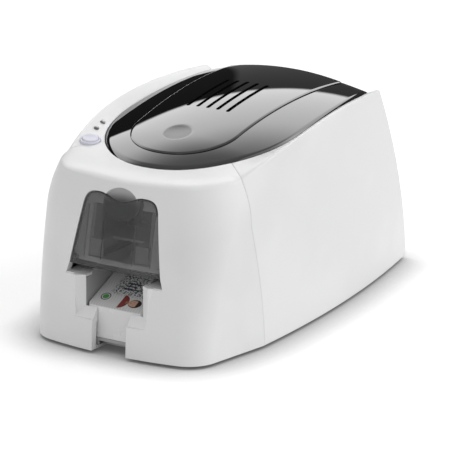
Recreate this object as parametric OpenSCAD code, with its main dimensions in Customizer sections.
// Desktop ID card printer with a hinged top cover and a front card feeder.
// Right handed frame in millimetres: the front faces -Y, +X is to the right, +Z is up,
// and the origin is on the desk under the middle of the body.

/* [Body] */
// Width across the widest point of the sides
body_w = 205.2; // [196:0.2:214]
// Length from the front face to the rear edge of the sides
body_l = 381; // [372:1:392]
// Height of the crest of the cover above the desk
body_h = 191; // [185:0.5:199]
// Height of the rubber feet, which lift the casing off the desk
foot_h = 3; // [2:0.5:5]
// Wall thickness of the white casing
wall = 2.4; // [1.8:0.1:3]
// Clearance between neighbouring casing parts
seam_gap = 0.4; // [0.2:0.1:0.8]
// Radius of the bowed front face, seen from above
front_r = 326; // [300:2:360]
// Radius of the front corners, seen from above
corner_r = 29; // [24:1:34]
// Heading of the flat cheek behind each front corner, from the X axis
cheek_angle = 77.4; // [75:0.2:80]
// Radius of the barrel shaped sides, seen from above
side_r = 1180; // [1000:20:1500]
// How far the front face leans back at the height of the ridge
front_lean = 34.4; // [28:0.2:38]
// How far the rear edge leans forward at the height of the ridge
rear_lean = 77.6; // [70:0.2:84]
// How far the sides draw in at the height of the ridge
side_draft = 4.3; // [3:0.1:6]

/* [Top cover] */
// Height of the glossy inlay above the cover skin
inlay_t = 1.2; // [0.8:0.1:1.6]
// Thickness of the cover skin
cover_t = 2.4; // [2:0.1:3]
// Width of the white shoulder between the cover and the widest point of the sides
shoulder_w = 16.6; // [15:0.2:19]
// Distance from the widest place of the cover to its nose
cover_nose = 110; // [106:1:114]
// Half width of the inlay
inlay_half = 50; // [46:0.5:54]
// Distance from the widest place of the inlay to its nose
inlay_nose = 50; // [44:1:56]
// Number of ventilation slots
vent_count = 5; // [3:1:7]
// Width of each ventilation slot
vent_w = 3.6; // [3:0.2:4.4]
// Distance between the slots
vent_pitch = 10; // [8:0.5:11]
// Radius of the shallow press spot
dimple_r = 13; // [10:0.5:16]

/* [Feeder] */
// Half width of the flap at its lower edge
flap_half = 44; // [42:0.5:45.5]
// Thickness of the flap
flap_t = 2; // [1.6:0.1:2.4]
// Height of the lower edge of the flap
flap_z = 74; // [72:0.5:76]
// Height of the flap itself
flap_h = 61; // [58:0.5:62]
// Radius of the finger scoop above the flap
scoop_r = 15; // [12:0.5:15.5]
// Gap round the flap
flap_gap = 0.9; // [0.6:0.1:1.2]

/* [Cards] */
// Long edge of a card
card_l = 85.6; // [84:0.1:87]
// Short edge of a card
card_w = 54; // [53:0.1:55]
// Thickness of a card
card_t = 0.76; // [0.7:0.02:0.84]
// Number of cards in the output hopper
card_count = 33; // [20:1:34]
// Slope of the output hopper
hopper_angle = 22; // [20:0.5:23]
// Side clearance of the cards in their guides
card_gap = 1.1; // [0.8:0.1:1.4]

/* [Mechanism] */
// Height of the card path above the desk
path_z = 96; // [95:0.5:97]
// Radius of the rubber rollers
roller_r = 8; // [7.6:0.1:8.2]
// Diameter of the roller shafts
shaft_d = 6; // [5:0.5:6]
// Module of the drive gears
gear_m = 1; // [0.98:0.01:1]
// Width of the drive gears
gear_w = 5; // [4:0.5:5]
// Thickness of the steel side frames
frame_t = 1.5; // [1.2:0.1:2]
// Radial running clearance of every shaft and pin
run_gap = 0.08; // [0.05:0.01:0.1]
// Radius of the full ribbon supply roll
ribbon_r = 19; // [16:0.5:20]
// Radius of the used ribbon roll
used_r = 13; // [11:0.5:15]

/* [Controls] */
// Diameter of the push button
button_d = 14; // [12:0.5:16]
// Travel of the push button
button_travel = 0.8; // [0.5:0.1:1]
// Diameter of a status light
led_d = 4.4; // [3.5:0.1:5]

/* [Hidden] */
$fn = 48;

// Casing form
front_end = -body_l / 2;
rear_end = body_l / 2;
cover_half = body_w / 2 - shoulder_w;
ridge_h = body_h - 8.8;
ridge_mid = rear_end - 136.5;
ridge_step = 0.5;
ridge_k = 0.000744;
ridge_skew = 0.00000121;
side_mid = -18.6;
tuck_x = 9.5;
tuck_y = front_end + 160.5;
tuck_h = 36;
tuck_run = 90;
crease_foot = front_end + 89;
crease_lean = 41;
crease_top = front_end + 70;
cover_mid = front_end + 170.5;
crest_y = rear_end - 118.5;
crown_k = 0.00085;
crown_r = 285;
nose_drop = 3.1;
nose_from = front_end + 110.5;
nose_run = 50;
deck_front = body_h - 38;
deck_side = body_h - 37.2;
rim_drop = [8, 4];
front_pull = [0.6, 0.84];
side_rim = 4;
side_pull = 0.86;
corner_grow = 26;
cover_n = 2.1;
cover_rear = rear_end - rear_lean - 4.9;
rear_ease = 0.7;
ease_from = cover_rear - 48;
ease_run = 30;
cover_taper = 5.5;
inlay_mid = front_end + 128.5;
inlay_rear = cover_rear - 3;
inlay_flare = 8;
lip = 0.9;
rear_inset = 1.5;
seam_t = 46;
base_z = foot_h;

function lerp(a, b, t) = a + (b - a) * t;
function flat(m) = [for (r = m) for (p = r) p];
function clamp(v) = min(max(v, 0), 1);
function bez(a, b, c, d, t) =
    a * pow(1 - t, 3) + b * 3 * t * pow(1 - t, 2) + c * 3 * t * t * (1 - t) + d * pow(t, 3);
function rise(z, p) = pow(max(z, 0) / ridge_h, p);
function flip(p) = [-p[0], p[1], p[2]];

// Ridge line, half width of the sides, line of the crease, front face and rear edge
function ridge_z(y) = ridge_h - ridge_k * pow(y - ridge_mid, 2) + ridge_skew * pow(y - ridge_mid, 3);
function tuck(y, z) = tuck_x * pow(max(0, tuck_y - y) / tuck_run, 1.6)
    * pow(clamp((z - ridge_z(y) + tuck_h) / tuck_h), 1.8);
function side_x(y, z) =
    body_w / 2 - side_draft * rise(z, 1.5) - pow(y - side_mid, 2) / (2 * side_r) - tuck(y, z);
function crease_y(z) = max(crease_top, crease_foot - crease_lean * rise(z, 1.6));
function front_y(z) = -body_l / 2 + front_lean * rise(z, 1.8);
function rear_y(z) = body_l / 2 - rear_lean * rise(z, 1.6);

// Height of the cover skin, and the half widths of the cover and its inlay
function crown_z(x, y) =
    body_h - inlay_t - crown_k * pow(y - crest_y, 2) - nose_drop * pow(max(0, nose_from - y) / nose_run, 2)
    - crown_r + sqrt(crown_r * crown_r - x * x);
function oval(a, n, d, b) = a * pow(max(1 - pow(d / b, n), 0), 1 / n);
function cover_x(y) = y < cover_mid
    ? oval(cover_half, cover_n, cover_mid - y, cover_nose)
    : cover_half - cover_taper * pow((y - cover_mid) / (cover_rear - cover_mid), 2.2);
function inlay_x(y) = y < inlay_mid
    ? oval(inlay_half, cover_n, inlay_mid - y, inlay_nose)
    : inlay_half + inlay_flare * pow((y - inlay_mid) / (inlay_rear - inlay_mid), 1.3);

// Right half of the front outline at height z, inset by o: bowed face, corner, cheek
face_n = 7;
corner_n = 8;
cheek_n = 3;
front_n = face_n + corner_n + cheek_n;
function corner_rad(z, o) = corner_r + corner_grow * rise(z, 1.6) - o;
function crease_p(z, o) = [side_x(crease_y(z), z) - o, crease_y(z)];
function corner_c(z, o) =
    let (d = [cos(cheek_angle), sin(cheek_angle)],
         f = [0, front_y(z) + front_r],
         k = corner_rad(z, o),
         b = crease_p(z, o) + k * [-d[1], d[0]] - f,
         m = b * d,
         t = m + sqrt(m * m - b * b + pow(front_r - o - k, 2)))
    f + b - t * d;
function front_p(j, z, o) =
    let (c = corner_c(z, o),
         f = [0, front_y(z) + front_r],
         a0 = atan2(c[0], f[1] - c[1]))
    j <= face_n
        ? f + (front_r - o) * [sin(a0 * j / face_n), -cos(a0 * j / face_n)]
        : j <= face_n + corner_n
            ? let (a = lerp(a0, cheek_angle, (j - face_n) / corner_n))
              c + corner_rad(z, o) * [sin(a), -cos(a)]
            : lerp(c + corner_rad(z, o) * [sin(cheek_angle), -cos(cheek_angle)],
                   crease_p(z, o), (j - face_n - corner_n) / cheek_n);

// Edge of the opening that the cover closes, grown by o: at angle t from the nose, or at y
function open_p(t, o) =
    let (x = (cover_half + o) * pow(sin(t), 2 / cover_n),
         y = cover_mid - (cover_nose + o) * pow(cos(t), 2 / cover_n))
    [x, y, crown_z(x, y) - lip];
function open_side_p(y, o) =
    let (x = cover_x(min(y, cover_rear)) + o + rear_ease * clamp((y - ease_from) / ease_run))
    [x, y, crown_z(x, y) - lip];

// Grid columns of the casing: rows up the wall, then the shoulder curve to the opening
wall_v = [0, 0.12, 0.3, 0.5, 0.66, 0.78, 0.86, 0.93, 1];
top_v = [0.16, 0.34, 0.52, 0.7, 0.86, 1];
function shoulder(p0, c, e, k) = [for (t = top_v) bez(p0, lerp(p0, c, k), lerp(e, c, k), e, t)];
function front_wall(j, o) =
    let (zr = front_rim(j, o))
    [for (v = wall_v) let (z = lerp(base_z, zr, v), w = front_p(j, z, o)) [w[0], w[1], z]];
function front_top(j, o) = lerp(deck_front, deck_side, j / front_n) - o;
function front_rim(j, o) = front_top(j, o) - lerp(rim_drop[0], rim_drop[1], j / front_n);
function front_col(j, o) =
    let (s = j / front_n,
         zt = front_top(j, o),
         zr = front_rim(j, o),
         q = front_p(j, zr, o),
         r = front_p(j, zt, o),
         e = open_p(seam_t * pow(s, 0.9), seam_gap) - [0, 0, o])
    concat(front_wall(j, o),
           shoulder([q[0], q[1], zr], [r[0], r[1], zt], e, lerp(front_pull[0], front_pull[1], s)));
function side_col(s, o) =
    let (yc = crease_top + seam_gap,
         zt = ridge_z(lerp(yc, cover_rear + 6.5, s)) + ridge_step - o,
         zr = zt - side_rim,
         y0 = function(z) lerp(crease_y(z) + seam_gap, rear_y(z), s),
         e0 = open_p(seam_t, seam_gap),
         ye = lerp(e0[1] + seam_gap, rear_y(ridge_h), s),
         e = open_side_p(ye, seam_gap))
    concat([for (v = wall_v) let (z = lerp(base_z, zr, v)) [side_x(y0(z), z) - o, y0(z), z]],
           shoulder([side_x(y0(zr), zr) - o, y0(zr), zr], [side_x(y0(zt), zt) - o, y0(zt), zt],
                    e - [0, 0, o], side_pull));

// Closed solid between two grids of points with the same rows and columns
module skin(outer, inner) {
    n = len(outer);
    m = len(outer[0]);
    k = n * m;
    quads = concat(
        [for (i = [0 : n - 2]) for (j = [0 : m - 2])
            [i * m + j, i * m + j + 1, (i + 1) * m + j + 1, (i + 1) * m + j]],
        [for (i = [0 : n - 2]) for (j = [0 : m - 2])
            [k + (i + 1) * m + j, k + (i + 1) * m + j + 1, k + i * m + j + 1, k + i * m + j]],
        [for (i = [0 : n - 2]) [(i + 1) * m, k + (i + 1) * m, k + i * m, i * m]],
        [for (i = [0 : n - 2])
            [i * m + m - 1, k + i * m + m - 1, k + (i + 1) * m + m - 1, (i + 1) * m + m - 1]],
        [for (j = [0 : m - 2]) [j, k + j, k + j + 1, j + 1]],
        [for (j = [0 : m - 2])
            [k - m + j + 1, 2 * k - m + j + 1, 2 * k - m + j, k - m + j]]);
    tris = [for (q = quads) for (t = [[q[0], q[1], q[2]], [q[0], q[2], q[3]]]) t];
    polyhedron(points = concat(flat(outer), flat(inner)), faces = tris, convexity = 6);
}

// Profile in the YZ plane drawn from x0 to x1, in the XZ plane from y0 to y1, and along X
module yz(x0, x1) {
    translate([x0, 0, 0]) rotate([90, 0, 90]) linear_extrude(x1 - x0) children();
}
module xz(y0, y1) {
    translate([0, y1, 0]) rotate([90, 0, 0]) linear_extrude(y1 - y0) children();
}
module on_x(y, z) {
    translate([0, y, z]) rotate([0, 90, 0]) children();
}
module both() {
    children();
    mirror([1, 0, 0]) children();
}
module slot2d(w, l) {
    square([w, l - w], center = true);
    for (s = [-1, 1]) translate([0, s * (l - w) / 2]) circle(w / 2);
}

// Front opening: the flap recess above, the card window, and the finger notch below
window_top = [36.2, 65.4];
window_foot = [33.6, 30.5];
ledge_x = 47;
ledge_y = front_end + 18.5;
ledge_t = 2;
notch_half = 16;
sill_y = front_end + 10;
sill_rise = 8;
sill_t = 4;
reveal = 6.8;
scoop_z = flap_z + flap_h - 6.5;
cut_front = front_end - 10;
cut_rear = front_end + 40;
flap_n = 5;
flap_mid = [0, 100];

function mirrored(p) = concat(p, [for (i = [len(p) - 1 : -1 : 0]) if (p[i][0] > 0) [-p[i][0], p[i][1]]]);
function grow(p, g) = p + g * (p - flap_mid) / norm(p - flap_mid);
function flap_top(g) = let (h = flap_z + flap_h)
    concat([for (i = [0 : flap_n])
               grow(bez([0, h - 4.3], [9, h - 4.3], [12, h + 1], [22, h + 1], i / flap_n), g)],
           [for (i = [1 : flap_n])
               grow(bez([22, h + 1], [31, h + 1], [34.6, h - 2], [36, h - 10], i / flap_n), g)]);
function flap_line(g) = mirrored(concat(flap_top(g), [[flap_half + g, flap_z - g]]));
function opening_line(g) = mirrored(concat(flap_top(g), [
    [flap_half + g, flap_z], [ledge_x + g, window_top[1] - g], window_top + [g, -g],
    window_foot + [g, -g], [notch_half + g, window_foot[1] - g], [notch_half + g, -1]]));
function face_grid(o) = [for (j = [-face_n : face_n])
    [for (p = front_wall(abs(j), o)) j < 0 ? flip(p) : p]];
lean = atan(front_lean * 1.8 / ridge_h * rise(scoop_z, 0.8));
module at_scoop(depth) {
    translate([0, front_y(scoop_z), scoop_z]) rotate([-90 - lean, 0, 0]) translate([0, 0, depth])
        children();
}

// Sloping sill, side cheeks and ledges that lead in to the card hopper
module funnel() {
    well = hopper_in + 0.2;
    both() {
        yz(notch_half + flap_gap, window_foot[0] + 2)
            polygon([[sill_y - 6.9, window_foot[1]], [sill_y, window_foot[1] + sill_rise],
                     [sill_y, window_foot[1] - sill_t], [sill_y - 5.9, window_foot[1] - sill_t]]);
        translate([0, 0, window_foot[1] - sill_t]) linear_extrude(window_top[1] - window_foot[1] + sill_t)
            polygon([[window_foot[0] + wall, sill_y - 5.1], [well, sill_y], [window_top[0] + 3, sill_y],
                     [window_top[0] + 3, sill_y - 2.5]]);
        translate([well, sill_y - 0.5, window_top[1] - ledge_t])
            cube([ledge_x + 2 - well, ledge_y - sill_y + 0.5, ledge_t]);
    }
}

module front_shell() {
    full = function(o) concat(
        [for (j = [front_n : -1 : 1]) [for (p = front_col(j, o)) flip(p)]],
        [for (j = [0 : front_n]) front_col(j, o)]);
    color("whitesmoke") difference() {
        union() {
            skin(full(0), full(wall));
            intersection() {
                skin(face_grid(1), face_grid(reveal));
                xz(cut_front, cut_rear) polygon(opening_line(wall + flap_gap));
            }
            funnel();
        }
        difference() {
            xz(cut_front, cut_rear) polygon(opening_line(flap_gap));
            funnel();
        }
        at_scoop(-9) cylinder(r = scoop_r, h = 16);
        at_scoop(cup_seat - 0.3) cylinder(r = cup_r + 0.3, h = cup_deep);
        on_x(pivot_y, pivot_z) cylinder(r = pivot_r + run_gap, h = 2 * flap_half + 8, center = true);
        button_hole();
    }
}

side_n = 14;
module side_shell() {
    skin([for (i = [0 : side_n]) side_col(i / side_n, 0)],
         [for (i = [0 : side_n]) side_col(i / side_n, wall)]);
}
module right_shell() {
    color("whitesmoke") side_shell();
}
module left_shell() {
    color("whitesmoke") difference() {
        mirror([1, 0, 0]) side_shell();
        button_hole();
        for (p = led_xy) at_deck(p) cylinder(r = led_d / 2 + 0.2, h = 20, center = true);
    }
}

// Rear panel between the side casings, following the lean of the rear edge
panel_top = deck_front + 1;
horn_top = body_h - 18;
panel_half = cover_half - 4.8;
port_z = 21;
usb_x = 22;
jack_x = -30;
switch_x = -56;
switch_z = 24;
usb_w = 12;
jack_r = 5.8;
port_gap = 0.5;
slot_n = 4;
slot_pitch = 13;
slot_z = 92;
slot_w = 4;
slot_l = 44;
panel_rows = 10;
function panel_col(s, o) = [for (i = [0 : panel_rows])
    let (z = lerp(base_z + 2.9, horn_top, i / panel_rows), y = rear_y(z))
    [s * (side_x(y, z) - wall - seam_gap - 0.6), y - rear_inset - o, z]];
module rear_panel() {
    color("whitesmoke") difference() {
        skin([panel_col(1, 0), panel_col(-1, 0)], [panel_col(1, wall), panel_col(-1, wall)]);
        translate([-panel_half, cover_rear - 18, panel_top]) cube([2 * panel_half, rear_lean, 40]);
        for (i = [-slot_n : slot_n]) translate([i * slot_pitch, rear_end - 30, slot_z]) rotate([90, 0, 0])
            linear_extrude(rear_lean, center = true) slot2d(slot_w, slot_l);
        translate([usb_x - usb_w / 2 - port_gap, rear_end - 40, board_z + board_t - port_gap])
            cube([usb_w + 2 * port_gap, 60, port_z + usb_rise + 2 * port_gap - board_z - board_t]);
        translate([jack_x, rear_end + 10, port_z]) rotate([90, 0, 0]) cylinder(r = jack_r + port_gap, h = 60);
        translate([switch_x - 7, rear_end - 40, switch_z - 10.6]) cube([14, 60, 21.2]);
    }
}

// Base tray: floor, rim and standoffs
tray_t = 2.5;
rim_h = 9;
tray_gap = wall + seam_gap;
notch_deep = 22;
screw_xy = [[60, front_end + 40.5], [body_w / 2 - 14.6, -40], [body_w / 2 - 18.6, 90],
    [70, rear_end - 14.5]];
foot_xy = [[72, front_end + 62.5], [68, rear_end - 34.5]];
foot_r = 7;
function tray_line(o) = concat(
    [for (j = [0 : front_n]) front_p(j, base_z, o)],
    [for (i = [1 : side_n])
        let (y = lerp(crease_y(base_z), rear_y(base_z) - rear_inset - wall - seam_gap, i / side_n))
        [side_x(y, base_z) - o, y]]);
module tray2d(o) {
    polygon(mirrored(tray_line(o)));
}
module base_tray() {
    rim_t = 2;
    reveal_half = notch_half + flap_gap + wall + seam_gap;
    color("gainsboro") difference() {
        union() {
            translate([0, 0, base_z]) linear_extrude(tray_t) tray2d(tray_gap);
            translate([0, 0, base_z]) linear_extrude(rim_h) difference() {
                tray2d(tray_gap);
                tray2d(tray_gap + rim_t);
                translate([-body_w / 2, rear_end - 30.5]) square([body_w, 40]);
            }
            both() for (y = [frame_front + 8, frame_rear - 8])
                translate([frame_x - 1, y - 6, base_z]) cube([frame_t + 2, 12, frame_foot - base_z]);
            for (p = screw_xy) both() translate([p[0], p[1], base_z]) cylinder(r = 4, h = 9);
            both() for (y = [board_y + 6, board_y + board_l - 6])
                translate([board_half - 6, y, base_z]) cylinder(r = 3, h = board_z - base_z);
        }
        translate([-notch_half, cut_front, 0]) cube([2 * notch_half, front_end + notch_deep - cut_front, 20]);
        translate([-reveal_half, cut_front, 0])
            cube([2 * reveal_half, front_end + reveal + 1.2 - cut_front, 20]);
        for (p = screw_xy) both() translate([p[0], p[1], 0]) {
            cylinder(r = screw_r + 0.2, h = 20);
            cylinder(r = screw_head_r + 0.3, h = base_z + screw_head_t + 0.2);
        }
    }
}
screw_r = 1.5;
screw_head_r = 2.8;
screw_head_t = 1.5;
module case_screws() {
    color("dimgray") for (p = screw_xy) both() translate([p[0], p[1], base_z + 0.2]) difference() {
        union() {
            cylinder(r = screw_head_r, h = screw_head_t);
            cylinder(r = screw_r, h = 8.4);
        }
        translate([0, 0, -0.1]) cylinder(r = 1.1, h = 1, $fn = 6);
    }
}
module rubber_feet() {
    color("dimgray") for (p = foot_xy) both() translate([p[0], p[1], 0]) rotate_extrude()
        polygon([[0, 0], [foot_r - 1, 0], [foot_r, 1], [foot_r, base_z], [0, base_z]]);
}

// Deck frame: plate and wall round the ribbon bay, latch socket and hinge brackets
deck_z = body_h - 53.5;
deck_t = 2.5;
deck_rear = cover_rear - 8;
bay_half = 46;
mech_y = front_end + 190.5;
bay_front = mech_y - 106;
bay_rear = mech_y + 60;
hinge_y = cover_rear - 10;
hinge_z = body_h - 25;
hinge_pin_r = 2.5;
ear_x = 62;
ear_t = 4;
bracket_x = 66.5;
bracket_t = 3.5;
latch_y = cover_mid - cover_nose + 17;
latch_x = 6.5;
deck_n = 12;
function deck_line(o) = concat(
    [for (t = [2 : 88 / deck_n : 90.1]) open_p(t, o)],
    [for (i = [0 : 4]) open_side_p(lerp(cover_mid + 28, deck_rear, i / 4), o)]);
function deck_wall(o) = let (r = [for (p = deck_line(o))
        [[p[0], p[1], deck_z + 1], [p[0], p[1], p[2] - wall - 0.5]]])
    concat([for (i = [len(r) - 1 : -1 : 0]) [for (q = r[i]) flip(q)]], r);
module deck_frame() {
    color("gainsboro") difference() {
        union() {
            skin(deck_wall(2.2), deck_wall(0.6));
            translate([0, 0, deck_z]) linear_extrude(deck_t)
                polygon(mirrored([for (p = deck_line(2.2)) [p[0], p[1]]]));
            translate([0, latch_y, deck_z]) linear_extrude(10) difference() {
                square([2 * latch_x + 3, 9], center = true);
                square([2 * latch_x, 6], center = true);
            }
            both() yz(bracket_x, bracket_x + bracket_t) {
                translate([hinge_y, hinge_z]) circle(6);
                polygon([[hinge_y - 18, deck_z + 1], [hinge_y + 2, deck_z + 1],
                         [hinge_y + 5.9, hinge_z - 1], [hinge_y - 5.9, hinge_z + 1]]);
            }
        }
        translate([-bay_half, bay_front, deck_z - 1]) cube([2 * bay_half, bay_rear - bay_front, deck_t + 2]);
        on_x(hinge_y, hinge_z) cylinder(r = hinge_pin_r, h = 160, center = true);
    }
}
module hinge_pins() {
    color("silver") both() translate([ear_x - 0.5, 0, 0]) on_x(hinge_y, hinge_z)
        cylinder(r = hinge_pin_r, h = bracket_x + bracket_t + 0.5 - ear_x + 0.5);
}

// Top cover: one curved skin with a rounded border, a rear skirt and five slots
skirt_z = body_h - 34;
skirt_turn = 9;
skirt_start = cover_rear - 5;
border_w = 3.2;
border_drop = 2;
nose_y = cover_mid - cover_nose;
cover_t_v = [0.15, 0.42, 0.66, 0.85, 0.955, 0.975, 0.99, 1];
cover_cols = concat([for (i = [len(cover_t_v) - 1 : -1 : 0]) -cover_t_v[i]], cover_t_v);
cover_rows = concat([for (d = [0.3, 0.9, 1.8, 3.2, 6, 10, 16, 25, 36, 50, 66, 86]) nose_y + d],
                    [for (i = [0 : 6]) lerp(cover_mid, skirt_start, i / 6)]);
function cover_level(x, y) = y < cover_mid
    ? pow(pow(abs(x) / cover_half, cover_n) + pow((cover_mid - y) / cover_nose, cover_n), 1 / cover_n)
    : abs(x) / cover_x(y);
function border(x, y) =
    border_drop * pow(clamp(1 - (1 - cover_level(x, y)) * cover_half / border_w), 2);
function cover_row(y, o) = [for (t = cover_cols) let (x = t * cover_x(y))
    [x, y, crown_z(x, y) - border(x, y) - o]];
function skirt_row(v, o) = [for (t = cover_cols)
    let (x = t * cover_x(cover_rear),
         zc = crown_z(x, cover_rear),
         a = [skirt_start, zc - border(x, cover_rear)],
         b = [rear_y(zc) - rear_inset, zc],
         e = [rear_y(zc - skirt_turn) - rear_inset, zc - skirt_turn],
         zl = lerp(zc - skirt_turn, skirt_z, v - 1),
         p = v <= 1 ? bez(a, lerp(a, b, 0.75), lerp(e, b, 0.75), e, v)
                    : [rear_y(zl) - rear_inset, zl])
    [x, p[0] - o * clamp(v * 1.2), p[1] - o * (1 - clamp(v * 1.2))]];
function cover_grid(o) = concat([for (y = cover_rows) cover_row(y, o)],
                                [for (v = [0.3, 0.5, 0.7, 1, 1.5, 2]) skirt_row(v, o)]);
vent_mid = cover_mid + 22.5;
vent_l = 71;
module vents(grow) {
    for (i = [0 : vent_count - 1]) translate([(i - (vent_count - 1) / 2) * vent_pitch, vent_mid, deck_front])
        linear_extrude(50) slot2d(vent_w + grow, vent_l + grow);
}
module top_cover() {
    color([0.16, 0.16, 0.17]) difference() {
        skin(cover_grid(0), cover_grid(cover_t));
        vents(0.6);
    }
}

// Raised inlay on the cover, with the press spot
inlay_t_v = [0.2, 0.5, 0.76, 0.93, 0.985, 1];
inlay_cols = concat([for (i = [len(inlay_t_v) - 1 : -1 : 0]) -inlay_t_v[i]], inlay_t_v);
inlay_rows = concat([for (d = [0.3, 1, 2.4, 5, 9, 15, 24, 38]) inlay_mid - inlay_nose + d],
                    [for (i = [0 : 8]) lerp(inlay_mid, inlay_rear - 1.4, i / 8)]);
inlay_seat = 0.1;
dimple_y = inlay_mid - 19;
dimple_deep = 0.8;
dimple_R = (dimple_r * dimple_r + dimple_deep * dimple_deep) / (2 * dimple_deep);
function inlay_grid(h) = [for (y = inlay_rows) [for (t = inlay_cols)
    let (x = t * inlay_x(y)) [x, y, crown_z(x, y) + h]]];
module cover_inlay() {
    tilt = atan(2 * crown_k * (crest_y - dimple_y));
    color([0.12, 0.12, 0.13]) difference() {
        skin(inlay_grid(inlay_t), inlay_grid(inlay_seat));
        vents(0);
        translate([0, dimple_y, crown_z(0, dimple_y) + inlay_t]) rotate([tilt, 0, 0])
            translate([0, 0, dimple_R - dimple_deep]) sphere(dimple_R, $fn = 180);
    }
}

// Liner under the cover: plate, ribs to the skin, and the hinge ears
liner_z = deck_front - 3;
liner_t = 2;
liner_half = 43.5;
liner_front = bay_front + 3;
liner_rear = bay_rear - 4;
rib_x = 39;
function under(x, y) = crown_z(x, y) - cover_t - 0.3;
module rib(x, y0, y1, z0) {
    n = 12;
    yz(x, x + liner_t) polygon(concat([[y0, z0], [y1, z0]],
        [for (i = [n : -1 : 0]) let (y = lerp(y0, y1, i / n)) [y, under(x + liner_t, y)]]));
}
module cross_rib(y, half, z0) {
    n = 12;
    xz(y, y + liner_t) polygon(concat([[-half, z0], [half, z0]],
        [for (i = [n : -1 : 0])
            let (x = lerp(-half, half, i / n)) [x, min(under(x, y), under(x, y + liner_t))]]));
}
module cover_liner() {
    color([0.25, 0.25, 0.26]) difference() {
        union() {
            translate([-liner_half, liner_front + 6, liner_z])
                cube([2 * liner_half, liner_rear - liner_front - 6, liner_t]);
            both() rib(rib_x, liner_front + 8, hinge_y + 3, liner_z + liner_t - 0.5);
            cross_rib(liner_front + 6, liner_half, liner_z);
            cross_rib(mech_y, liner_half, liner_z + 1);
            cross_rib(liner_rear - liner_t, liner_half, liner_z);
            cross_rib(hinge_y - 12, ear_x + 1, hinge_z - 5);
            both() yz(ear_x, ear_x + ear_t) {
                translate([hinge_y, hinge_z]) circle(6);
                polygon([[hinge_y - 12, hinge_z - 5], [hinge_y, hinge_z - 6],
                         [hinge_y + 3, under(ear_x + ear_t, hinge_y + 3)],
                         [hinge_y - 12, under(ear_x + ear_t, hinge_y - 12)]]);
            }
        }
        on_x(hinge_y, hinge_z) cylinder(r = hinge_pin_r + run_gap, h = 160, center = true);
        translate([-rib_x - 4, hinge_y - 8, hinge_z - 20]) cube([2 * rib_x + 8, 20, 16]);
    }
}
striker_half = 5;
module cover_striker() {
    y0 = latch_y;
    color("silver") union() {
        xz(y0 - 0.9, y0 + 0.9) polygon([[-striker_half, deck_z + 5], [striker_half, deck_z + 5],
            [striker_half, under(striker_half, y0 - 1)], [-striker_half, under(striker_half, y0 - 1)]]);
        translate([-striker_half, y0 - 0.9, under(striker_half, y0 - 1) - 4])
            cube([2 * striker_half, liner_front + 6 - y0 + 0.7, 1.6]);
    }
}

// Print head over the platen, on a bracket under the liner
platen_y = mech_y - 28;
film_gap = 1.1;
film_t = 0.3;
head_z = path_z + film_gap + film_t + 0.5;
head_half = 29;
module print_head() {
    color("silver") union() {
        translate([-head_half, platen_y - 5, head_z]) cube([2 * head_half, 10, 4]);
        translate([-head_half, platen_y - 8, head_z + 4]) cube([2 * head_half, 16, 3]);
        for (i = [0 : 4]) translate([-head_half, platen_y - 8 + i * 3.6, head_z + 7])
            cube([2 * head_half, 1.6, 14]);
    }
}
module head_bracket() {
    color("silver") difference() {
        union() {
            both() translate([head_half + 0.3, platen_y - 9, head_z + 4])
                cube([1.6, 18, liner_z - head_z - 4]);
            translate([-head_half - 1.9, platen_y - 9, liner_z - 2]) cube([2 * head_half + 3.8, 18, 2]);
        }
        translate([-head_half + 6, platen_y - 4, liner_z - 3]) cube([2 * head_half - 12, 8, 4]);
    }
}

// Feeder: flap, bezel, scoop cup and magazine
pivot_y = front_end + 13.9;
pivot_z = 78.5;
pivot_r = 1.5;
lug_r = 2.6;
module feeder_flap() {
    color([0.3, 0.3, 0.32, 0.7]) union() {
        intersection() {
            skin(face_grid(0), face_grid(flap_t));
            xz(cut_front, cut_rear) polygon(flap_line(0));
        }
        both() {
            yz(flap_half - 4.5, flap_half - 1.5) {
                translate([pivot_y, pivot_z]) circle(lug_r);
                polygon([[pivot_y, pivot_z - lug_r], [pivot_y, pivot_z + lug_r],
                         [pivot_y - 2.6, pivot_z + lug_r], [pivot_y - 3.6, pivot_z - lug_r]]);
            }
            translate([flap_half - 2, 0, 0]) on_x(pivot_y, pivot_z) cylinder(r = pivot_r, h = 4.2);
        }
    }
}
mag_in = card_w / 2 + card_gap / 2;
mag_t = 2.4;
bezel_half = 44;
bezel_t = 2;
bezel_foot = flap_z + 2;
bezel_h = 66;
mouth_h = 45;
module feeder_bezel() {
    color("white") difference() {
        intersection() {
            skin(face_grid(reveal + 0.3), face_grid(reveal + 0.3 + bezel_t));
            xz(cut_front, cut_rear) translate([-bezel_half, bezel_foot]) square([2 * bezel_half, bezel_h]);
        }
        xz(cut_front, cut_rear) translate([-mag_in - mag_t - 0.3, bezel_foot + 4])
            square([2 * (mag_in + mag_t + 0.3), mouth_h]);
        at_scoop(0) cylinder(r = cup_r + 0.3, h = 20);
    }
}
cup_r = scoop_r + 1.4;
cup_deep = 8;
cup_t = 1.4;
cup_seat = wall + 0.5 + pow(cup_r, 2) / (2 * front_r);
module scoop_cup() {
    R = (cup_r * cup_r + cup_deep * cup_deep) / (2 * cup_deep);
    n = 8;
    arc = function(r) let (a = acos((R - cup_deep) / r))
        [for (i = [0 : n]) [r * sin(a * i / n), cup_deep - R + r * cos(a * i / n)]];
    inner = arc(R - cup_t);
    color("darkgray") at_scoop(cup_seat) rotate_extrude()
        polygon(concat(arc(R), [for (i = [n : -1 : 0]) inner[i]]));
}
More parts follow.
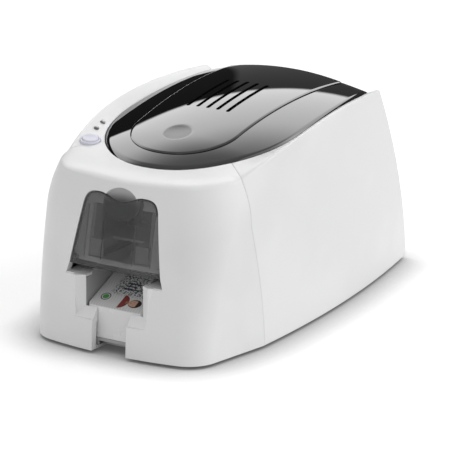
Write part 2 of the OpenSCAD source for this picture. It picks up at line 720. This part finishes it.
module feeder_frame() {
    front = front_end + 17.1;
    rear = front_drive_y - 9;
    top = path_z + 28;
    color("gainsboro") difference() {
        union() {
            both() yz(mag_in, mag_in + mag_t) polygon([[front, path_z - 15], [front + 8.9, top],
                [pick_y - 28, top], [pick_y - 12, top - 12], [rear, top - 12], [rear, path_z - 2.5],
                [pick_y - 12, path_z - 15]]);
            translate([-mag_in - 1, front + 0.4, path_z - 2.5])
                cube([2 * mag_in + 2, pick_y - 13 - front - 0.4, 2.4]);
            both() translate([notch_half, front + 0.4, path_z - 15]) cube([mag_in + 1 - notch_half, 2, 13]);
            translate([-mag_in - 1, rear - 2, path_z + 4]) cube([2 * mag_in + 2, 2, 12]);
        }
        translate([-notch_half, sill_y, path_z - 6]) cube([2 * notch_half, 22.5, 8]);
        on_x(pick_y, roller_z) cylinder(r = roller_r + 1, h = 200, center = true);
    }
}

// Hopper: sloping tray with the cards in it, the last one loose on top
hopper_in = card_w / 2 + card_gap;
hopper_t = 2;
card_front = sill_y + seam_gap + card_t * sin(hopper_angle);
floor_z = 12.4;
card_step = card_t / cos(hopper_angle);
stack_top = floor_z + card_count * card_step;
card_corner = 3.18;
module card_plate(z, t) {
    arc = [for (c = [[1, 1], [-1, 1], [-1, -1], [1, -1]]) for (a = [0 : 22.5 : 90])
        let (k = c[0] * c[1] > 0 ? a : 90 - a)
        [c[0] * (card_w / 2 - card_corner + card_corner * cos(k)),
         card_l / 2 + c[1] * (card_l / 2 - card_corner + card_corner * sin(k))]];
    translate([0, card_front, z]) rotate([hopper_angle, 0, 0]) linear_extrude(t) polygon(arc);
}
module card_stack() {
    color("white") for (i = [0 : card_count - 1]) card_plate(floor_z + i * card_step, card_t - 0.06);
}
module printed_card() {
    color("seagreen") card_plate(stack_top + 0.05, card_t);
}
module hopper_tray() {
    rear = chute_front - 0.3;
    front = sill_y + 0.3;
    foot = 6;
    rim = window_top[1] - ledge_t - 0.4;
    side_top = 74;
    floor_at = function(y) floor_z - 0.3 + (y - card_front) * tan(hopper_angle);
    color("gainsboro") difference() {
        union() {
            yz(-hopper_in - 1, hopper_in + 1) polygon([[front, floor_at(front)], [rear, floor_at(rear)],
                [rear, floor_at(rear) - hopper_t], [front + 2, floor_at(front) - hopper_t], [front + 2, foot],
                [front, foot]]);
            both() yz(hopper_in, hopper_in + hopper_t) polygon([[front, foot], [front, rim],
                [ledge_y + 0.3, rim], [ledge_y + 0.3, rim + 3], [ledge_y + 22, side_top], [rear, side_top],
                [rear, floor_at(rear) - hopper_t], [front + 6, foot]]);
            both() translate([hopper_in, front, foot])
                cube([window_foot[0] + flap_gap - 0.3 - hopper_in, 1.6, rim - foot]);
        }
        translate([-notch_half, front - 1, 0]) cube([2 * notch_half, 4, foot + 3.5]);
    }
}

// Frames, ties, guide and diverter
frame_x = 34;
frame_foot = 14;
frame_front = mech_y - 122;
frame_rear = mech_y + 75;
pick_y = mech_y - 112;
front_drive_y = mech_y - 84;
rear_drive_y = mech_y + 20;
roller_z = path_z - roller_r;
roller_ys = [pick_y, front_drive_y, platen_y, rear_drive_y];
cleaner_r = 4;
cleaner_z = path_z + 0.9 + cleaner_r;
pinch_r = 5;
pinch_z = path_z + 0.9 + pinch_r;
pin_r = 2;
takeup = [mech_y - 80, deck_z - 9.5];
supply = [mech_y + 22, deck_z - 9.5];
spool_r = 5;
motor_y = mech_y - 4;
motor_z = roller_z - gear_m * 22;
motor_hole_r = 5;
idlers = [[mech_y - 98, 12, 15], [mech_y - 56, 40, 4.5], [mech_y - 4, 32, 5.625]];
ties = [[frame_front + 7, 22], [platen_y - 22, 22], [frame_rear - 9, 22], [frame_rear - 9, 102]];
tie_r = 4;
frame_line = [[frame_front, frame_foot], [frame_rear, frame_foot], [frame_rear, 110], [supply[0] + 20, 112],
    [supply[0] + 20, deck_z - 0.3], [supply[0] - 20, deck_z - 0.3], [supply[0] - 20, 112],
    [takeup[0] + 20, 112], [takeup[0] + 20, deck_z - 0.3], [pick_y, deck_z - 0.3], [pick_y, 108],
    [frame_front, 100]];
// Windows that lighten the side frames, each with its corner and its size
frame_windows = [[[front_drive_y - 2, 34], [26, 16]], [[platen_y - 12, 26], [30, 18]],
    [[rear_drive_y + 4, 30], [30, 40]]];
module frame_plate() {
    yz(frame_x, frame_x + frame_t) difference() {
        polygon(frame_line);
        for (y = roller_ys) translate([y, roller_z]) circle(shaft_d / 2 + run_gap);
        for (p = [[front_drive_y, cleaner_z], [rear_drive_y, pinch_z], [diverter_y, diverter_z]])
            translate(p) circle(pin_r + run_gap);
        for (p = [takeup, supply]) {
            translate(p) circle(spool_r);
            translate([p[0] - spool_r, p[1]]) square([2 * spool_r, 20]);
        }
        translate([motor_y, motor_z]) circle(motor_hole_r);
        for (w = frame_windows) translate(w[0]) square(w[1]);
    }
}
module frame_right() {
    color("lightsteelblue") frame_plate();
}
module frame_left() {
    color("lightsteelblue") union() {
        mirror([1, 0, 0]) frame_plate();
        for (g = idlers) translate([-gear_x - gear_w - 1, 0, 0]) on_x(g[0], roller_z)
            cylinder(r = 3 - run_gap, h = gear_x + gear_w + 1 - frame_x);
    }
}
module frame_ties() {
    color("silver") for (p = ties) translate([-frame_x, 0, 0]) on_x(p[0], p[1])
        cylinder(r = tie_r, h = 2 * frame_x);
}
diverter_y = mech_y - 67;
diverter_z = path_z - 5.6;
chute_front = front_drive_y - 15.2;
chute_rear = platen_y - 20;
chute_z = 70.8;
chute_t = 1.8;
module card_guide() {
    half = frame_x - 0.3;
    chute_at = function(y) chute_z + (y - chute_front + 0.8) * tan(hopper_angle);
    color("gainsboro") difference() {
        union() {
            translate([-half, front_drive_y - 7, path_z - 3])
                cube([2 * half, frame_rear - front_drive_y + 7, 2.6]);
            yz(-half, half) polygon([[chute_front, chute_at(chute_front)], [chute_rear, chute_at(chute_rear)],
                [chute_rear, chute_at(chute_rear) - chute_t], [chute_front, chute_at(chute_front) - chute_t]]);
            both() yz(half - 2, half) polygon([[chute_rear - 2, chute_at(chute_rear - 2) - 1],
                [chute_rear, chute_at(chute_rear - 2) - 1], [chute_rear + 2, path_z - 2],
                [chute_rear - 2, path_z - 2]]);
        }
        for (y = [front_drive_y, platen_y, rear_drive_y])
            translate([-31, y - 7.4, path_z - 4]) cube([62, 14.8, 5]);
        translate([-28.4, diverter_y - 3.5, path_z - 4]) cube([56.8, 22.5, 5]);
    }
}
module card_diverter() {
    color("dimgray") union() {
        translate([-frame_x - 1, 0, 0]) on_x(diverter_y, diverter_z) cylinder(r = pin_r, h = 2 * frame_x + 2);
        yz(-27, 27) polygon([[diverter_y - 1.5, diverter_z], [diverter_y + 1, diverter_z - 1],
            [diverter_y + 17, path_z - 2.2], [diverter_y + 17.8, path_z - 1], [diverter_y + 2, path_z - 1]]);
    }
}

// Rollers and gears
gear_x = frame_x + frame_t + 2.5;
shaft_end = gear_x + gear_w + 0.5;
tooth_foot = 0.33;
tooth_tip = 0.13;
addendum = 0.9;
dedendum = 1.15;
module roller(y, z, r, rs, x0) {
    half = 30;
    x1 = frame_x + frame_t + 1;
    on_x(y, z) rotate_extrude() polygon([[0, x0], [rs, x0], [rs, -half], [r - 0.4, -half], [r, 0.4 - half],
        [r, half - 0.4], [r - 0.4, half], [rs, half], [rs, x1], [0, x1]]);
}
module gear(n, y, z, turn, bore) {
    r = gear_m * n / 2;
    p = 360 / n;
    yz(-gear_x - gear_w, -gear_x) translate([y, z]) rotate(turn) difference() {
        polygon([for (i = [0 : n - 1])
            for (t = [[-tooth_foot, -dedendum], [-tooth_tip, addendum],
                      [tooth_tip, addendum], [tooth_foot, -dedendum]])
            let (a = p * (i + t[0]), q = r + gear_m * t[1]) [q * cos(a), q * sin(a)]]);
        circle(bore);
        if (n > 30) for (a = [0 : 60 : 300]) rotate(a) translate([r * 0.6, 0]) circle(r * 0.17);
    }
}
bore_r = shaft_d / 2 + 0.03;
module driven_roller(y) { color("darkslategray") roller(y, roller_z, roller_r, shaft_d / 2, -shaft_end); }
module pick_roller() { driven_roller(pick_y); }
module front_roller() { driven_roller(front_drive_y); }
module platen_roller() { driven_roller(platen_y); }
module rear_roller() { driven_roller(rear_drive_y); }
module pick_gear() { color("ivory") gear(16, pick_y, roller_z, 0, bore_r); }
module front_gear() { color("ivory") gear(16, front_drive_y, roller_z, 0, bore_r); }
module platen_gear() { color("ivory") gear(16, platen_y, roller_z, 0, bore_r); }
module rear_gear() { color("ivory") gear(16, rear_drive_y, roller_z, 0, bore_r); }
module idler(i) { color("ivory") gear(idlers[i][1], idlers[i][0], roller_z, idlers[i][2], 3); }
module idler_front() { idler(0); }
module idler_middle() { idler(1); }
module idler_rear() { idler(2); }
module cleaning_roller() {
    color("lightblue") roller(front_drive_y, cleaner_z, cleaner_r, pin_r, -frame_x - frame_t - 1);
}
module pinch_roller() {
    color("darkslategray") roller(rear_drive_y, pinch_z, pinch_r, pin_r, -frame_x - frame_t - 1);
}

// Drive motor between the frames, with its pinion outside
motor_r = 14;
motor_shaft_r = 2.5;
module drive_motor() {
    color("silver") difference() {
        union() {
            translate([-frame_x + 2, 0, 0]) on_x(motor_y, motor_z) cylinder(r = motor_r, h = 38);
            yz(-frame_x, 2.5 - frame_x) translate([motor_y, motor_z]) difference() {
                square(30, center = true);
                for (a = [45 : 90 : 315]) rotate(a) translate([17, 0]) circle(1.5);
            }
        }
        translate([-frame_x - 1, 0, 0]) on_x(motor_y, motor_z) cylinder(r = motor_shaft_r + run_gap, h = 20);
    }
}
module motor_pinion() {
    color("goldenrod") union() {
        gear(12, motor_y, motor_z, 0, 1);
        translate([-gear_x - gear_w, 0, 0]) on_x(motor_y, motor_z)
            cylinder(r = motor_shaft_r, h = gear_x + gear_w - frame_x + 16);
    }
}

// Ribbon: spools, rolls, film, and the take-up drive
film_half = 28;
module spool(p, x0) {
    x1 = frame_x + frame_t + 1.5;
    on_x(p[0], p[1]) rotate_extrude() polygon([[0, x0], [spool_r - run_gap, x0], [spool_r - run_gap, -31],
        [flange_r, -31], [flange_r, -29.6], [core_r, -29.6], [core_r, 29.6], [flange_r, 29.6], [flange_r, 31],
        [spool_r - run_gap, 31], [spool_r - run_gap, x1], [0, x1]]);
}
core_r = 7;
flange_r = 10;
module roll(p, r) {
    translate([-film_half, 0, 0]) on_x(p[0], p[1]) difference() {
        cylinder(r = r, h = 2 * film_half, $fn = 96);
        translate([0, 0, -1]) cylinder(r = core_r + 0.03, h = 2 * film_half + 2);
    }
}
module supply_spool() { color("whitesmoke") spool(supply, -frame_x - frame_t - 1.5); }
module takeup_spool() { color("whitesmoke") spool(takeup, -gear_x - gear_w - 1.2); }
module supply_ribbon() { color([0.1, 0.1, 0.12]) roll(supply, ribbon_r); }
module used_ribbon() { color([0.15, 0.1, 0.2]) roll(takeup, used_r); }
function touch(p, c, r, s) =
    let (d = norm(p - c), t = atan2(p[1] - c[1], p[0] - c[0]) + s * acos(r / d))
    c + r * [cos(t), sin(t)];
module ribbon_film() {
    z = path_z + film_gap;
    a = [platen_y - 10, z];
    b = [platen_y + 10, z];
    p = [touch(a, takeup, used_r + 0.4, -1), a, b, touch(b, supply, ribbon_r + 0.4, 1)];
    color([0.1, 0.1, 0.12]) yz(-film_half, film_half)
        polygon([p[0], p[1], p[2], p[3], p[3] + [-film_t, 0.1], p[2] + [-0.1, film_t], p[1] + [0.1, film_t],
                 p[0] + [film_t, 0.1]]);
}
wind_r = gear_m * 18 / sqrt(2);
winder = takeup - [wind_r, wind_r];
wind_shaft_r = 1.5;
module takeup_gear() { color("ivory") gear(24, takeup[0], takeup[1], 0, spool_r - run_gap + 0.03); }
module ribbon_pinion() {
    color("goldenrod") union() {
        gear(12, winder[0], winder[1], 0, 1);
        translate([-gear_x - gear_w - 10, 0, 0]) on_x(winder[0], winder[1])
            cylinder(r = wind_shaft_r, h = gear_w + 10);
    }
}
module ribbon_motor() {
    x = gear_x + gear_w + 1.5;
    posts = [[winder[0] - 15, winder[1] - 2], [winder[0], winder[1] - 14.6]];
    color("silver") difference() {
        union() {
            translate([-x - 22, 0, 0]) on_x(winder[0], winder[1]) cylinder(r = 10, h = 21);
            translate([-x - 1.5, 0, 0]) on_x(winder[0], winder[1]) cylinder(r = 17.5, h = 1.5);
            for (p = posts) translate([-x - 0.5, 0, 0]) on_x(p[0], p[1])
                cylinder(r = pin_r, h = x + 0.5 - frame_x - frame_t);
        }
        translate([-x - 12, 0, 0]) on_x(winder[0], winder[1]) cylinder(r = wind_shaft_r + run_gap, h = 20);
    }
}

// Controls on the left shoulder
button_xy = [10.7 - cover_half, front_end + 88.5];
led_xy = [[2.7 - cover_half, front_end + 110.5], [0.4 - cover_half, front_end + 124.1]];
ring_r = button_d / 2 + 2;
ring_top = 0.9;
led_deep = 7.7;
module button_hole() {
    at_deck(button_xy) cylinder(r = ring_r + 0.3, h = 20, center = true);
}
function deck_p(x, y) =
    let (e = open_side_p(y, seam_gap), r = [side_x(y, ridge_z(y) + ridge_step), ridge_z(y) + ridge_step])
    [x, y, lerp(e[2], r[1], (abs(x) - e[0]) / (r[0] - e[0]))];
module at_deck(p) {
    a = deck_p(p[0], p[1]);
    u = deck_p(p[0] + 1, p[1]) - a;
    v = deck_p(p[0], p[1] + 1) - a;
    translate(a) rotate([atan(v[2]), -atan(u[2]), 0]) children();
}
module control_button() {
    r = button_d / 2;
    top = ring_top + button_travel + 0.2;
    color("lavender") at_deck(button_xy) rotate_extrude()
        polygon([[0, -3], [r + 1.2, -3], [r + 1.2, -2], [r, -2], [r, top - 0.7], [r - 0.8, top], [0, top]]);
}
module button_ring() {
    r = button_d / 2 + 0.25;
    color("silver") at_deck(button_xy) rotate_extrude() polygon([[r, -1.7], [r + 1.3, -1.7], [r + 1.3, -3.2],
        [ring_r, -3.2], [ring_r, ring_top - 0.4], [ring_r - 0.4, ring_top], [r, ring_top]]);
}
module status_lights() {
    color("lightcyan") for (p = led_xy) at_deck(p) rotate_extrude()
        polygon([[0, -led_deep], [led_d / 2, -led_deep], [led_d / 2, 0.2], [led_d / 2 - 0.5, 0.6], [0, 0.6]]);
}
module control_board() {
    a = deck_p(button_xy[0], button_xy[1]);
    b = deck_p(led_xy[1][0], led_xy[1][1]);
    run = [b[0] - a[0], b[1] - a[1]];
    top = -led_deep - 1.1;
    color("seagreen") translate(a) rotate([0, 0, atan2(run[1], run[0]) - 90])
        rotate([atan((b[2] - a[2]) / norm(run)), 9, 0]) difference() {
            union() {
                translate([-7, -8, top - board_t]) cube([10, norm(run) + 13, board_t]);
                translate([-3, -3, top - 0.1]) cube([6, 6, 3.4]);
                translate([-6, 9, top - 0.1]) cube([4, 6, 2]);
            }
            translate([-4.5, norm(run) + 2, top - 4]) cylinder(r = 1.2, h = 5);
        }
}

// Electronics and sockets
board_y = rear_end - 106.5;
board_l = 90;
board_half = 60;
board_z = 11;
board_t = 1.6;
socket_y = rear_y(port_z) - rear_inset - 0.4;
usb_rise = 5.7;
// Parts on the main board: corner and size of each block, place and radius of each capacitor
board_blocks = [[[-12, 22], [24, 24, 3.2]], [[20, 28], [16, 10, 2.6]], [[-48, 42], [20, 16, 15]],
    [[-44, 4], [14, 5, 6]], [[-4, 4], [14, 5, 6]], [[36, 4], [14, 5, 6]]];
board_cans = [[-50, 20, 6], [-34, 20, 6], [46, 62, 5], [46, 48, 5]];
module main_board() {
    color("seagreen") translate([0, 0, board_z]) union() {
        translate([-board_half, board_y, 0]) cube([2 * board_half, board_l, board_t]);
        for (c = board_blocks) translate([c[0][0], board_y + c[0][1], board_t - 0.1]) cube(c[1]);
        for (c = board_cans) translate([c[0], board_y + c[1], board_t - 0.1]) cylinder(r = c[2], h = 15.5);
    }
}
module usb_socket() {
    color("silver") difference() {
        translate([usb_x - usb_w / 2, socket_y - 16.5, board_z + board_t])
            cube([usb_w, 16.5, port_z + usb_rise - board_z - board_t]);
        translate([usb_x - 4.3, socket_y - 9, port_z - 4]) cube([8.6, 10, 8]);
    }
}
module power_socket() {
    y = socket_y;
    color("dimgray") difference() {
        union() {
            translate([jack_x - 7, y - 16, board_z + board_t]) cube([14, 12, port_z + 7 - board_z - board_t]);
            translate([jack_x, y, port_z]) rotate([90, 0, 0]) cylinder(r = jack_r, h = 12);
        }
        translate([jack_x, y + 1, port_z]) rotate([90, 0, 0]) cylinder(r = 3.2, h = 11);
    }
}
rocker_deep = 5;
rocker_half = 7.9;
rocker_throw = 9;
module at_switch() {
    slope = (rear_y(switch_z + 0.5) - rear_y(switch_z - 0.5));
    translate([switch_x, rear_y(switch_z) - rear_inset, switch_z]) rotate([-atan(slope), 0, 0]) children();
}
module switch_housing() {
    color("dimgray") at_switch() difference() {
        union() {
            translate([-6.7, -14, -10.2]) cube([13.4, 14.5, 20.4]);
            translate([-8.2, 0.3, -12]) cube([16.4, 1.2, 24]);
        }
        translate([-5.2, -12.5, -9]) cube([10.4, 20, 18]);
        translate([0, -rocker_deep, 0]) rotate([0, 90, 0]) cylinder(r = 1.2 + run_gap, h = 13, center = true);
    }
}
module power_switch() {
    h = rocker_half;
    color("black") at_switch() translate([0, -rocker_deep, 0]) rotate([rocker_throw / 2, 0, 0]) union() {
        yz(-4.9, 4.9) polygon([[-3, -3], [4, -h], [8.2, -h], [6.7, 0], [8.2, h], [4, h], [-3, 3]]);
        rotate([0, 90, 0]) cylinder(r = 1.2, h = 12.4, center = true);
    }
}

front_shell();
left_shell();
right_shell();
rear_panel();
base_tray();
deck_frame();
top_cover();
cover_inlay();
cover_liner();
cover_striker();
print_head();
head_bracket();
feeder_flap();
feeder_bezel();
scoop_cup();
feeder_frame();
hopper_tray();
card_stack();
printed_card();
frame_left();
frame_right();
frame_ties();
card_guide();
card_diverter();
pick_roller();
front_roller();
platen_roller();
rear_roller();
pick_gear();
front_gear();
platen_gear();
rear_gear();
idler_front();
idler_middle();
idler_rear();
motor_pinion();
drive_motor();
cleaning_roller();
pinch_roller();
supply_spool();
supply_ribbon();
takeup_spool();
used_ribbon();
ribbon_film();
takeup_gear();
ribbon_pinion();
ribbon_motor();
control_button();
button_ring();
status_lights();
control_board();
main_board();
usb_socket();
power_socket();
switch_housing();
power_switch();
hinge_pins();
rubber_feet();
case_screws();
